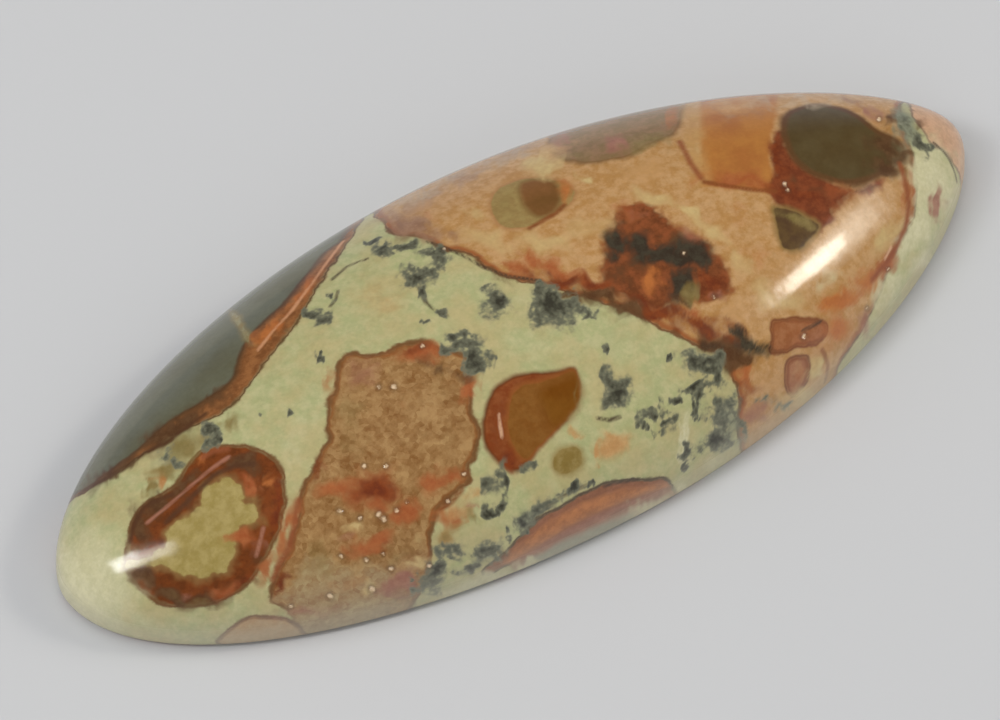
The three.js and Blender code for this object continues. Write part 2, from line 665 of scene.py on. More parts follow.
CLASTS: tuple[Clast, ...] = (
    Clast("russet_field", RUSSET, (
        (372, 206), (384, 222), (392, 232), (418, 237), (444, 249), (459, 251), (485, 266), (504, 277),
        (540, 283), (578, 296), (601, 301), (620, 307), (638, 316), (672, 332), (702, 346), (724, 356),
        (729, 374), (738, 388), (740, 403), (737, 425), (742, 450), (770, 470), (850, 400), (838, 368),
        (853, 345), (868, 318), (879, 296), (890, 262), (902, 240), (912, 221), (916, 196), (915, 171),
        (910, 149), (904, 125), (900, 108), (905, 70), (850, 55), (750, 50), (650, 62), (550, 90),
        (450, 130), (385, 170),
    )),
    Clast("two_tone_oval", OLIVE_TAN, (
        (488, 203), (496, 188), (513, 180), (530, 177), (556, 178), (571, 183), (578, 193), (571, 206),
        (554, 216), (529, 229), (503, 229), (491, 216),
    )),
    Clast("oval_shade", BROWN, (
        (521, 184), (536, 179), (552, 180), (560, 188), (560, 202), (553, 213), (538, 217), (526, 209),
        (520, 196),
    )),
    Clast("shoulder_oval", EDGE_OLIVE, (
        (548, 144), (556, 128), (590, 100), (628, 90), (684, 82), (683, 118), (676, 134), (657, 142),
        (634, 156), (612, 161), (587, 163), (565, 161), (554, 153),
    )),
    Clast("orange_block", ORANGE, (
        (702, 182), (700, 150), (700, 120), (703, 85), (735, 70), (774, 75), (776, 110), (771, 140),
        (771, 165), (776, 191), (742, 189), (710, 186),
    )),
    Clast("block_vein", PALE_VEIN, (
        (686, 100), (694, 102), (698, 125), (700, 150), (705, 176), (698, 178), (690, 152), (686, 125),
    )),
    Clast("maroon_mass", MAROON, (
        (776, 134), (782, 132), (788, 148), (806, 166), (835, 182), (862, 186), (886, 178), (874, 190),
        (853, 198), (838, 209), (832, 222), (818, 232), (803, 222), (788, 210), (776, 206), (769, 190),
        (774, 172), (770, 150),
    )),
    Clast("dark_oval", DARK_OLIVE, (
        (780, 120), (791, 109), (815, 103), (840, 107), (860, 115), (880, 130), (897, 138), (908, 150),
        (904, 162), (890, 172), (866, 184), (840, 185), (812, 176), (792, 160), (782, 138),
    )),
    Clast("umber_wedge", UMBER, (
        (772, 206), (790, 208), (806, 215), (821, 225), (814, 240), (801, 251), (782, 249), (774, 228),
    )),
    Clast("red_black", RED_BLACK, (
        (607, 240), (612, 220), (620, 207), (644, 204), (663, 213), (680, 225), (700, 237), (714, 255),
        (730, 277), (730, 292), (719, 302), (700, 305), (680, 300), (664, 312), (640, 303), (612, 292),
        (604, 280), (604, 255),
    )),
    Clast("brick_block", BRICK, (
        (773, 322), (797, 320), (822, 321), (827, 333), (816, 343), (797, 349), (771, 354), (771, 337),
    )),
    Clast("brick_oval", BRICK_RING, (
        (785, 372), (788, 360), (797, 355), (808, 357), (810, 372), (804, 386), (794, 397), (786, 390),
    )),
    Clast("grey_band", GREY_BAND, (
        (60, 500), (81, 494), (117, 472), (146, 453), (175, 434), (204, 421), (226, 409), (243, 392),
        (255, 376), (268, 356), (285, 336), (300, 316), (316, 291), (332, 266), (347, 243), (358, 226),
        (360, 195), (320, 200), (260, 235), (190, 285), (120, 355), (70, 430), (48, 480),
    )),
    Clast("grey_green", GREY_GREEN, (
        (60, 495), (85, 491), (121, 466), (144, 447), (170, 424), (197, 408), (222, 392), (238, 374),
        (245, 350), (261, 327), (284, 306), (307, 277), (328, 252), (345, 238), (350, 215), (320, 205),
        (260, 240), (190, 290), (120, 360), (70, 435), (50, 480),
    )),
    Clast("grey_vein", GREY_VEIN, (
        (228, 310), (236, 314), (246, 327), (255, 342), (249, 345), (239, 330),
    )),
    Clast("ring", RING, (
        (127, 556), (128, 541), (131, 527), (136, 515), (143, 505), (152, 498), (163, 492), (176, 484),
        (187, 466), (202, 451), (221, 445), (241, 446), (259, 450), (273, 459), (282, 471), (285, 488),
        (284, 510), (278, 531), (270, 550), (260, 567), (248, 583), (234, 594), (217, 602), (197, 607),
        (176, 606), (158, 602), (142, 591), (131, 580), (127, 568),
    )),
    Clast("ring_core", RING_CORE, (
        (126, 562), (145, 554), (163, 546), (168, 531), (179, 522), (192, 514), (199, 500), (203, 486),
        (214, 478), (232, 474), (240, 484), (246, 497), (257, 501), (262, 515), (256, 527), (240, 530),
        (234, 540), (238, 552), (232, 566), (220, 576), (197, 582), (177, 579), (165, 571), (145, 569),
        (126, 571),
    )),
    Clast("granular", GRANULAR, (
        (345, 354), (368, 354), (391, 351), (402, 346), (423, 342), (442, 348), (461, 353), (473, 364),
        (471, 385), (471, 406), (479, 430), (477, 450), (468, 466), (466, 482), (450, 498), (438, 514),
        (429, 530), (431, 556), (428, 580), (414, 600), (405, 640), (320, 650), (300, 628), (288, 612),
        (274, 600), (273, 582), (285, 559), (293, 540), (297, 516), (302, 492), (310, 473), (321, 454),
        (328, 435), (329, 409), (334, 389), (339, 370),
    )),
    Clast("granular_foot", GRANULAR_PALE, (
        (284, 602), (296, 582), (318, 562), (340, 566), (362, 574), (388, 566), (392, 582), (392, 640),
        (310, 640),
    )),
    Clast("amber_rim", AMBER_RIM, (
        (487, 402), (494, 388), (507, 378), (524, 373), (545, 372), (562, 369), (575, 368), (578, 380),
        (576, 404), (566, 419), (552, 436), (538, 450), (528, 463), (517, 472), (503, 467), (488, 453),
        (482, 438), (482, 418),
    )),
    Clast("amber", AMBER, (
        (510, 394), (520, 384), (541, 380), (562, 372), (576, 370), (579, 388), (577, 405), (564, 421),
        (549, 439), (536, 452), (527, 461), (517, 456), (508, 438), (506, 413),
    )),
    Clast("amber_shade", AMBER_SHADE, (
        (540, 392), (556, 382), (576, 376), (580, 405), (562, 424), (550, 424), (543, 408),
    )),
    Clast("small_olive", OLIVE, (
        (552, 462), (557, 450), (567, 446), (580, 448), (585, 460), (577, 474), (562, 477), (554, 472),
    )),
    Clast("lens", LENS_RUST, (
        (483, 571), (498, 558), (512, 545), (524, 532), (543, 515), (565, 503), (582, 494), (604, 483),
        (626, 480), (647, 478), (664, 479), (672, 484), (676, 494), (672, 510), (600, 575), (548, 590),
        (534, 570), (520, 562), (504, 567), (490, 575),
    )),
    Clast("lens_orange", LENS_ORANGE, (
        (503, 563), (512, 552), (524, 541), (552, 519), (582, 505), (614, 492), (640, 486), (664, 484),
        (668, 488), (640, 496), (608, 508), (575, 524), (540, 546), (515, 562),
    )),
    Clast("lens_red", LENS_RED, (
        (510, 564), (535, 549), (570, 527), (608, 509), (640, 497), (668, 488), (674, 494), (644, 508),
        (610, 520), (576, 537), (542, 556), (524, 566),
    )),
    Clast("lens_pink", LENS_PINK, (
        (514, 566), (540, 555), (574, 537), (610, 519), (644, 506), (678, 492), (690, 505), (600, 565),
        (540, 580),
    )),
    Clast("lens_grey", LENS_GREY, (
        (528, 560), (542, 554), (560, 543), (576, 536), (606, 523), (634, 514), (640, 530), (590, 565),
        (545, 590), (534, 572),
    )),
    Clast("edge_lens", EDGE_LENS, (
        (222, 645), (226, 632), (240, 621), (257, 616), (275, 616), (290, 620), (302, 630), (300, 645),
    )),
    Clast("end_cap", END_CAP, (
        (906, 96), (914, 116), (930, 142), (944, 152), (954, 164), (961, 186), (968, 205), (995, 170),
        (965, 90), (920, 70),
    )),
)

STAINS: tuple[Stain, ...] = (
    # Pale cream: partly pale ground in the stone, and along the near rim and at both ends painted light on
    # sides that catch it.
    Stain("cream_and_painted_light", Colour(208, 202, 164), Colour(198, 192, 152), (
        Spot(930, 178, 24, 40, 20, 0.9), Spot(914, 234, 14, 40, -30, 0.8),
        Spot(888, 286, 12, 34, -40, 0.7), Spot(84, 586, 50, 50, 30, 0.9),
        Spot(520, 300, 26, 12, 0, 0.3), Spot(290, 445, 14, 40, -20, 0.4),
        Spot(625, 340, 40, 12, -20, 0.3), Spot(500, 545, 20, 8, 20, 0.4), Spot(686, 492, 12, 9, 0, 0.8),
        Spot(482, 586, 34, 10, 20), Spot(526, 570, 20, 7, 28), Spot(650, 508, 24, 9, 25, 0.8),
        Spot(685, 440, 8, 26, 0, 0.8), Spot(920, 262, 9, 16, -40, 0.8), Spot(824, 281, 14, 9, 30, 0.5),
        Spot(450, 594, 20, 6, 15, 0.6), Spot(710, 462, 20, 10, 30, 0.5),
    )),
    Stain("teal", Colour(118, 122, 104), Colour(138, 140, 118), (
        Spot(904, 124, 10, 18, 15, 0.9), Spot(916, 140, 7, 12, 30, 0.9),
        Spot(726, 426, 14, 24, -20, 0.7), Spot(740, 440, 12, 10, 25, 0.6),
        Spot(488, 558, 20, 9, 28, 0.7), Spot(470, 568, 14, 6, 20, 0.5), Spot(532, 514, 16, 9, 40, 0.7),
        Spot(702, 358, 22, 14, -20, 0.5), Spot(488, 484, 10, 14, 0, 0.5),
        Spot(434, 578, 14, 16, -20, 0.5), Spot(768, 402, 20, 7, 0, 0.4),
        Spot(436, 248, 14, 6, -10, 0.4), Spot(612, 384, 16, 18, -20, 0.4),
        Spot(556, 308, 24, 18, -15, 0.4), Spot(209, 436, 10, 14, 0, 0.5),
        Spot(168, 458, 14, 9, 20, 0.6), Spot(452, 551, 12, 10, 20, 0.4), Spot(530, 468, 10, 6, 10, 0.4),
    )),
    Stain("smoke", Colour(140, 104, 80), Colour(154, 118, 92), (
        Spot(410, 226, 30, 12, -16), Spot(424, 200, 30, 8, 32, 0.7), Spot(466, 176, 32, 7, 27, 0.6),
        Spot(512, 154, 32, 6, 24, 0.6), Spot(600, 114, 44, 7, 18, 0.6), Spot(452, 236, 14, 6, -20, 0.6),
        Spot(738, 113, 34, 6, 0, 0.5), Spot(560, 150, 14, 10, 10, 0.7),
    )),
    # Painted reflection: a pale sheen along the far rim of the dome.
    Stain("painted_far_sheen", Colour(174, 156, 130), Colour(178, 156, 128), (
        Spot(428, 192, 46, 7, 28, 0.55), Spot(508, 158, 44, 7, 22, 0.5), Spot(790, 103, 90, 5, 2, 0.5),
    )),
    Stain("pale", Colour(200, 176, 124), Colour(190, 162, 110), (
        Spot(655, 198, 22, 6, -22, 0.8), Spot(690, 212, 20, 6, -32, 0.8),
        Spot(714, 232, 20, 7, -46, 0.7), Spot(738, 260, 18, 7, -52, 0.6),
        Spot(766, 296, 20, 14, -45, 0.6), Spot(788, 304, 22, 11, 0, 0.6),
        Spot(544, 164, 20, 12, 20, 0.9), Spot(586, 180, 9, 5, -20, 0.9), Spot(474, 214, 16, 7, 0, 0.5),
        Spot(697, 150, 5, 26, 8, 0.3), Spot(886, 234, 9, 18, -34, 0.7), Spot(816, 368, 6, 17, -10),
        Spot(355, 526, 12, 5, 10, 0.8), Spot(590, 228, 30, 14, 0, 0.5), Spot(371, 588, 8, 5, 40, 0.9),
        Spot(490, 240, 30, 10, -20, 0.6), Spot(418, 563, 16, 6, 35, 0.7),
        Spot(548, 242, 30, 10, -10, 0.6), Spot(345, 405, 16, 20, 0, 0.3),
        Spot(435, 440, 24, 20, 0, 0.3), Spot(420, 540, 8, 12, 0, 0.5), Spot(800, 400, 18, 11, 20, 0.9),
    )),
    Stain("peach", Colour(194, 152, 102), Colour(184, 138, 88), (
        Spot(614, 443, 17, 13, 10, 0.9), Spot(576, 431, 12, 6, 0, 0.7), Spot(596, 452, 5, 10, 0, 0.9),
        Spot(448, 536, 12, 12, 0, 0.8), Spot(474, 492, 12, 8, 0, 0.6), Spot(350, 585, 26, 10, 0, 0.4),
        Spot(770, 380, 18, 18, 0, 0.4), Spot(640, 172, 40, 14, 10, 0.5), Spot(736, 104, 28, 12, 0, 0.6),
        Spot(425, 204, 16, 8, 20, 0.5), Spot(735, 312, 14, 20, 0, 0.5), Spot(200, 625, 60, 8, 0, 0.2),
        Spot(385, 300, 36, 28, 0, 0.35), Spot(556, 150, 26, 8, 20, 0.5), Spot(780, 270, 16, 16, 0, 0.4),
    )),
    Stain("orange", Colour(182, 110, 58), Colour(170, 100, 52), (
        Spot(160, 480, 6, 9, 0, 0.8), Spot(151, 489, 4, 5, 0, 0.5), Spot(455, 515, 22, 13, 20, 0.6),
        Spot(842, 300, 24, 10, 28, 0.9), Spot(866, 284, 12, 18, -35, 0.7),
        Spot(838, 326, 14, 18, 0, 0.8), Spot(268, 330, 6, 24, -40, 0.8),
        Spot(300, 296, 5, 24, -35, 0.8), Spot(757, 252, 16, 20, -20, 0.4),
        Spot(735, 214, 24, 12, 0, 0.4), Spot(272, 484, 6, 5, 0, 0.8), Spot(650, 280, 9, 14, 0, 0.9),
        Spot(746, 376, 10, 18, 0, 0.8), Spot(672, 118, 6, 16, -10, 0.6), Spot(205, 456, 10, 5, 42, 0.9),
        Spot(822, 350, 10, 14, 0, 0.5), Spot(564, 192, 10, 10, 0, 0.7), Spot(800, 375, 5, 10, 0, 0.4),
        Spot(700, 176, 12, 10, 0, 0.5),
    )),
    Stain("rust", Colour(156, 84, 48), Colour(166, 98, 58), (
        Spot(534, 260, 13, 9, 0, 0.9), Spot(556, 271, 26, 7, -12, 0.9), Spot(592, 284, 26, 8, -14, 0.9),
        Spot(516, 268, 18, 6, -20, 0.8), Spot(373, 490, 27, 17, 12, 0.9),
        Spot(405, 514, 16, 10, 20, 0.9), Spot(370, 545, 22, 10, 18, 0.9),
        Spot(442, 479, 26, 10, 12, 0.8), Spot(420, 353, 28, 9, 5, 0.8), Spot(467, 389, 8, 15, -15, 0.9),
        Spot(251, 486, 11, 10, -20), Spot(240, 537, 14, 8, 10), Spot(222, 592, 20, 7, 25, 0.7),
        Spot(268, 518, 10, 30, -8, 0.4), Spot(797, 333, 22, 14, 0, 0.3),
        Spot(628, 213, 18, 9, -20, 0.6), Spot(838, 188, 20, 7, 10, 0.5),
        Spot(330, 380, 6, 26, -15, 0.5), Spot(742, 180, 34, 7, -4, 0.8), Spot(430, 218, 12, 7, 0, 0.4),
        Spot(395, 224, 12, 8, 0, 0.4), Spot(340, 488, 20, 12, 10, 0.8), Spot(400, 400, 20, 14, 0, 0.2),
        Spot(907, 193, 7, 18, -5, 0.8), Spot(884, 266, 8, 20, -38, 0.8), Spot(456, 520, 10, 7, 10, 0.7),
        Spot(680, 314, 14, 6, -24, 0.5), Spot(287, 532, 7, 34, -14, 0.8),
        Spot(267, 567, 6, 18, -28, 0.8), Spot(696, 313, 14, 9, -30, 0.8), Spot(376, 504, 14, 8, 0, 0.8),
        Spot(442, 521, 10, 8, 0, 0.6), Spot(744, 378, 10, 14, 0, 0.7),
    )),
    Stain("deep_red", Colour(128, 62, 32), Colour(106, 50, 30), (
        Spot(655, 311, 30, 8, -24), Spot(700, 327, 28, 10, -22), Spot(728, 344, 14, 12, -30, 0.9),
        Spot(712, 282, 14, 17, 0, 0.7), Spot(375, 490, 24, 14, 10, 0.9),
        Spot(281, 587, 5, 16, -20, 0.8), Spot(277, 508, 6, 34, -6, 0.8), Spot(242, 584, 18, 6, 30, 0.7),
        Spot(800, 196, 22, 10, -12, 0.7), Spot(778, 158, 6, 22, 8, 0.8),
        Spot(562, 281, 24, 7, -10, 0.85), Spot(594, 283, 22, 8, -12, 0.8),
        Spot(680, 313, 14, 7, -24, 0.8), Spot(744, 392, 9, 10, 0, 0.6), Spot(404, 585, 18, 8, 14, 0.8),
        Spot(530, 274, 16, 5, -20, 0.6), Spot(752, 386, 9, 10, 0, 0.5), Spot(318, 470, 5, 20, -25, 0.6),
        Spot(508, 462, 13, 8, -35, 0.8), Spot(496, 425, 6, 30, -6, 0.5),
        Spot(735, 328, 20, 7, -20, 0.6), Spot(862, 104, 20, 6, -22, 0.5), Spot(770, 184, 10, 8, 0, 0.6),
        Spot(414, 350, 16, 5, 5, 0.6), Spot(385, 546, 10, 5, 18, 0.5),
    )),
    Stain("rose", Colour(162, 114, 92), Colour(148, 98, 80), (
        Spot(398, 584, 24, 10, 12, 0.9), Spot(472, 506, 8, 5, 0, 0.6), Spot(754, 415, 13, 12, 30, 0.8),
        Spot(616, 144, 8, 10, 0, 0.9), Spot(310, 612, 40, 7, 5, 0.5), Spot(348, 539, 12, 6, 0, 0.4),
        Spot(187, 595, 7, 5, 0, 0.6), Spot(562, 137, 12, 7, 20, 0.7), Spot(866, 325, 9, 17, 10, 0.7),
        Spot(872, 112, 10, 8, -30, 0.7), Spot(640, 214, 18, 7, -12, 0.4),
        Spot(692, 236, 18, 8, -32, 0.5), Spot(257, 548, 5, 14, 18, 0.4), Spot(716, 296, 8, 6, 0, 0.6),
        Spot(362, 374, 24, 18, 0, 0.55), Spot(937, 205, 8, 16),
    )),
    Stain("umber", Colour(82, 56, 36), Colour(98, 70, 46), (
        Spot(184, 484, 24, 9, 42, 0.7), Spot(728, 355, 18, 12, -25), Spot(744, 362, 13, 8, 0, 0.9),
        Spot(566, 297, 20, 5, -14, 0.8), Spot(602, 297, 26, 8, -12), Spot(629, 309, 18, 8, -26),
        Spot(504, 279, 16, 4, -24, 0.5), Spot(424, 362, 14, 6, 0, 0.5), Spot(886, 168, 18, 8, -12, 0.9),
        Spot(860, 185, 18, 6, -12, 0.6), Spot(140, 524, 9, 22, 24, 0.9), Spot(156, 507, 17, 8, 38, 0.9),
        Spot(244, 462, 17, 9, -10, 0.9), Spot(192, 506, 13, 11, 30, 0.6),
        Spot(146, 577, 16, 10, -22, 0.9), Spot(172, 597, 24, 8, -22, 0.8),
        Spot(206, 600, 24, 7, 5, 0.8), Spot(256, 562, 8, 9, 0, 0.5), Spot(714, 345, 20, 9, -20),
        Spot(682, 296, 9, 9, 0, 0.8), Spot(888, 120, 10, 8, 0, 0.7), Spot(921, 121, 9, 7, 0, 0.6),
        Spot(920, 136, 7, 8, 0, 0.5), Spot(504, 551, 8, 6, 0, 0.6), Spot(400, 236, 18, 6, -18, 0.5),
        Spot(172, 430, 36, 10, 34), Spot(215, 398, 24, 7, 35, 0.7), Spot(888, 147, 22, 12, -30, 0.8),
        Spot(905, 158, 8, 11, 0, 0.8), Spot(440, 369, 11, 5, 40, 0.6), Spot(462, 376, 15, 8, 0, 0.7),
        Spot(475, 358, 10, 14, 0, 0.4), Spot(620, 275, 14, 11, 0, 0.7), Spot(806, 188, 22, 5, -20, 0.5),
        Spot(672, 240, 12, 7, 0, 0.7), Spot(255, 342, 4, 14, -40, 0.5), Spot(782, 352, 12, 5, 0, 0.4),
        Spot(110, 474, 30, 7, 30, 0.8), Spot(640, 262, 16, 10, 0, 0.6), Spot(720, 268, 8, 12, 0, 0.4),
    )),
    Stain("ink", Colour(50, 46, 38), Colour(66, 62, 50), (
        Spot(620, 241, 16, 14), Spot(640, 248, 17, 13), Spot(612, 257, 10, 10, 0, 0.8),
        Spot(664, 255, 16, 10), Spot(688, 252, 22, 12, 8), Spot(702, 261, 13, 10, 0),
        Spot(679, 282, 13, 22, -10, 0.9), Spot(628, 286, 8, 7, 0, 0.4), Spot(750, 345, 17, 10, -30),
        Spot(738, 335, 8, 8, 0, 0.9), Spot(714, 346, 12, 6, -25, 0.6),
    )),
    Stain("moss", Colour(124, 108, 62), Colour(136, 118, 74), (
        Spot(798, 219, 22, 6, -24, 0.8), Spot(690, 293, 8, 10, 0, 0.7), Spot(575, 392, 4, 16, 0, 0.6),
        Spot(226, 506, 18, 10, 30, 0.3), Spot(350, 425, 20, 38, 0, 0.4), Spot(318, 562, 22, 26, 0, 0.5),
        Spot(650, 141, 22, 8, 8, 0.7), Spot(175, 598, 16, 5, -20, 0.3), Spot(505, 208, 13, 18, 0, 0.4),
        Spot(402, 556, 18, 10, 35, 0.4), Spot(574, 154, 18, 6, -5, 0.5), Spot(440, 385, 20, 16, 0, 0.3),
        Spot(200, 604, 30, 4, 5, 0.4), Spot(184, 450, 26, 13, 36, 0.8), Spot(165, 472, 16, 10, 30, 0.8),
        Spot(200, 438, 12, 10, 30, 0.6), Spot(616, 318, 14, 7, -20, 0.4),
        Spot(232, 423, 14, 8, 42, 0.7), Spot(152, 490, 8, 6, 30, 0.9), Spot(448, 535, 16, 12, 10, 0.7),
        Spot(471, 518, 10, 8, 0, 0.7), Spot(488, 361, 8, 12, 0, 0.6),
    )),
)

SEAMS: tuple[Seam, ...] = (
    Seam("rust_seam", Colour(140, 80, 50), 0.1, (
        ((900, 164), (906, 185), (909, 205), (906, 226), (898, 244), (887, 262), (872, 280)),
        ((298, 500), (295, 524), (289, 546), (280, 562), (272, 580)),
        ((680, 142), (691, 164), (701, 178)),
        ((203, 457), (214, 451), (228, 449)),
    )),
    Seam("umber_seam", Colour(84, 56, 38), 0.09, (
        ((130, 542), (134, 524), (143, 508), (157, 500), (172, 495)),
        ((166, 522), (184, 505), (199, 490), (214, 475), (234, 466), (254, 464)),
        ((79, 495), (100, 482), (123, 470), (146, 453), (168, 442), (190, 425), (206, 414)),
    )),
    Seam("pink_seam", Colour(160, 110, 88), 0.06, (
        ((147, 523), (160, 512), (176, 499), (194, 483), (211, 469), (229, 457)),
        ((256, 556), (260, 542), (263, 528)),
    )),
    Seam("brown_seam", Colour(128, 72, 40), 0.08, (
        ((704, 182), (720, 185), (740, 188), (757, 190), (775, 191)),
        ((529, 229), (544, 220), (556, 213), (564, 205)),
        ((440, 510), (452, 502), (462, 490)),
        ((822, 350), (828, 365), (824, 382)),
    )),
    Seam("dark_seam", Colour(74, 60, 48), 0.06, (
        ((427, 242), (448, 249), (463, 256), (485, 268), (508, 276), (540, 281)),
        ((332, 279), (347, 267), (357, 262), (368, 259)),
        ((338, 290), (336, 300), (330, 307)),
        ((419, 287), (426, 303), (434, 310), (447, 316)),
        ((523, 533), (543, 510), (560, 498), (575, 490), (590, 484)),
        ((604, 486), (620, 482), (640, 479)),
        ((597, 418), (609, 420), (620, 417)),
        ((934, 143), (945, 153), (951, 163), (957, 182)),
        ((802, 331), (812, 326), (821, 321)),
    )),
    Seam("band_seam", Colour(200, 146, 106), 0.055, (
        ((258, 350), (273, 331), (291, 312), (311, 285), (329, 260), (343, 241)),
    )),
    # Painted glints: short bright streaks of highlight, not lines in the stone.
    Seam("painted_glint_lines", Colour(206, 162, 128), 0.045, (
        ((499, 414), (500, 425), (502, 438)),
        ((884, 260), (888, 253), (892, 246)),
    )),
)

GROWTHS: tuple[Spot, ...] = (
    Spot(167, 455, 8, 6, 10), Spot(176, 463, 5, 4), Spot(209, 444, 6, 7), Spot(210, 430, 8, 9),
    Spot(289, 413, 3, 3), Spot(258, 413, 2.5, 2.5, 0, 0.7), Spot(371, 243, 4, 3), Spot(387, 249, 10, 6),
    Spot(404, 246, 10, 4, 0, 0.8), Spot(436, 252, 13, 5, -10), Spot(440, 263, 8, 7),
    Spot(418, 275, 13, 10, -20), Spot(409, 281, 8, 7), Spot(423, 293, 3, 9, 10), Spot(441, 314, 7, 3),
    Spot(430, 319, 3, 3), Spot(495, 305, 13, 10), Spot(490, 286, 6, 4, 0, 0.8),
    Spot(333, 297, 4, 8, -15), Spot(325, 319, 10, 6), Spot(313, 312, 6, 5), Spot(319, 356, 3, 6),
    Spot(554, 308, 19, 17, -15), Spot(549, 292, 10, 8), Spot(582, 308, 11, 5), Spot(592, 316, 6, 3.5),
    Spot(476, 358, 10, 14), Spot(456, 346, 14, 6), Spot(460, 334, 14, 6, 0, 0.9), Spot(603, 352, 4, 5),
    Spot(610, 378, 10, 8), Spot(618, 392, 11, 14, -20), Spot(670, 356, 4, 4), Spot(648, 415, 6, 5),
    Spot(662, 408, 6, 5), Spot(668, 419, 6, 5), Spot(646, 427, 4, 3), Spot(655, 433, 5, 3),
    Spot(676, 400, 4, 3), Spot(698, 362, 15, 10, -20), Spot(712, 362, 12, 8),
    Spot(714, 373, 13, 8, -30), Spot(698, 386, 13, 5, 8), Spot(697, 402, 4, 12), Spot(695, 414, 7, 2.5),
    Spot(722, 414, 13, 20, -15, 0.8), Spot(718, 438, 16, 10, 25, 0.8), Spot(738, 430, 8, 14, 0, 0.75),
    Spot(690, 450, 7, 8), Spot(684, 466, 4, 3.5), Spot(763, 402, 7, 5, 0, 0.5),
    Spot(777, 402, 12, 5, 0, 0.5), Spot(557, 499, 14, 5, 30, 0.6), Spot(538, 506, 10, 7, 20, 0.9),
    Spot(530, 517, 9, 9, 0, 0.6), Spot(523, 525, 8, 6, 40), Spot(506, 537, 5, 4, 0, 0.8),
    Spot(490, 553, 16, 9, 28, 0.85), Spot(466, 567, 8, 6, 20, 0.8), Spot(503, 480, 4, 14),
    Spot(504, 505, 6, 5), Spot(489, 484, 7, 11, 0, 0.7), Spot(488, 510, 5, 5), Spot(497, 511, 4, 4),
    Spot(447, 551, 13, 8, 15), Spot(434, 575, 10, 15, -20), Spot(415, 588, 8, 6, 20),
    Spot(905, 128, 8, 16, 15, 0.5), Spot(920, 140, 6, 13, 20), Spot(488, 360, 6, 8, 0, 0.8),
    Spot(531, 467, 7, 5, 10), Spot(660, 431, 9, 4, 10, 0.9), Spot(575, 489, 10, 3, 28),
    Spot(590, 482, 6, 2.5, 20),
)

PITS: tuple[Pit, ...] = (
    Pit(879, 119, 1.8), Pit(785, 184, 2.2), Pit(788, 190, 1.8), Pit(714, 297, 1.8), Pit(804, 336, 2.4),
    Pit(867, 308, 1.8), Pit(888, 269, 1.6), Pit(422, 346, 2.0), Pit(379, 387, 1.9), Pit(394, 387, 2.4),
    Pit(364, 466, 2.0), Pit(386, 466, 2.0), Pit(464, 474, 1.9), Pit(340, 511, 2.2), Pit(360, 518, 1.9),
    Pit(379, 514, 2.6), Pit(384, 519, 2.4), Pit(397, 510, 2.2), Pit(448, 501, 1.8), Pit(341, 556, 1.8),
    Pit(366, 560, 2.0), Pit(383, 554, 1.6), Pit(391, 569, 2.2), Pit(372, 589, 2.6), Pit(330, 596, 2.6),
    Pit(291, 606, 1.8), Pit(429, 566, 2.0), Pit(684, 253, 1.8), Pit(444, 249, 1.6), Pit(407, 502, 1.5),
)

# The ground between the clasts, the dark growths, the pits' painted shade and glint, the ground-off edge
# with a painted sheen of the lit floor, the windows' light, and the clasts of the sides that no picture
# shows.
MATRIX_PALE = Colour(182, 178, 132)
MATRIX_GREEN = Colour(166, 168, 120)
MATRIX_BUFF = Colour(182, 162, 114)
GROWTH_DARK = Colour(60, 58, 48)
GROWTH_GREY = Colour(116, 116, 96)
PAINTED_GLINT = Colour(228, 200, 164)
PIT_PAINTED_SHADE = Colour(86, 62, 44)
GROUND_EDGE_AND_SHEEN = Colour(198, 194, 176)
WARM = (1.0, 0.95, 0.82)
HIDDEN_TAN = Colour(186, 146, 100)
HIDDEN_OLIVE = Colour(120, 112, 76)
HIDDEN_BRICK = Colour(150, 92, 60)
HIDDEN_RIM = Colour(132, 76, 48)


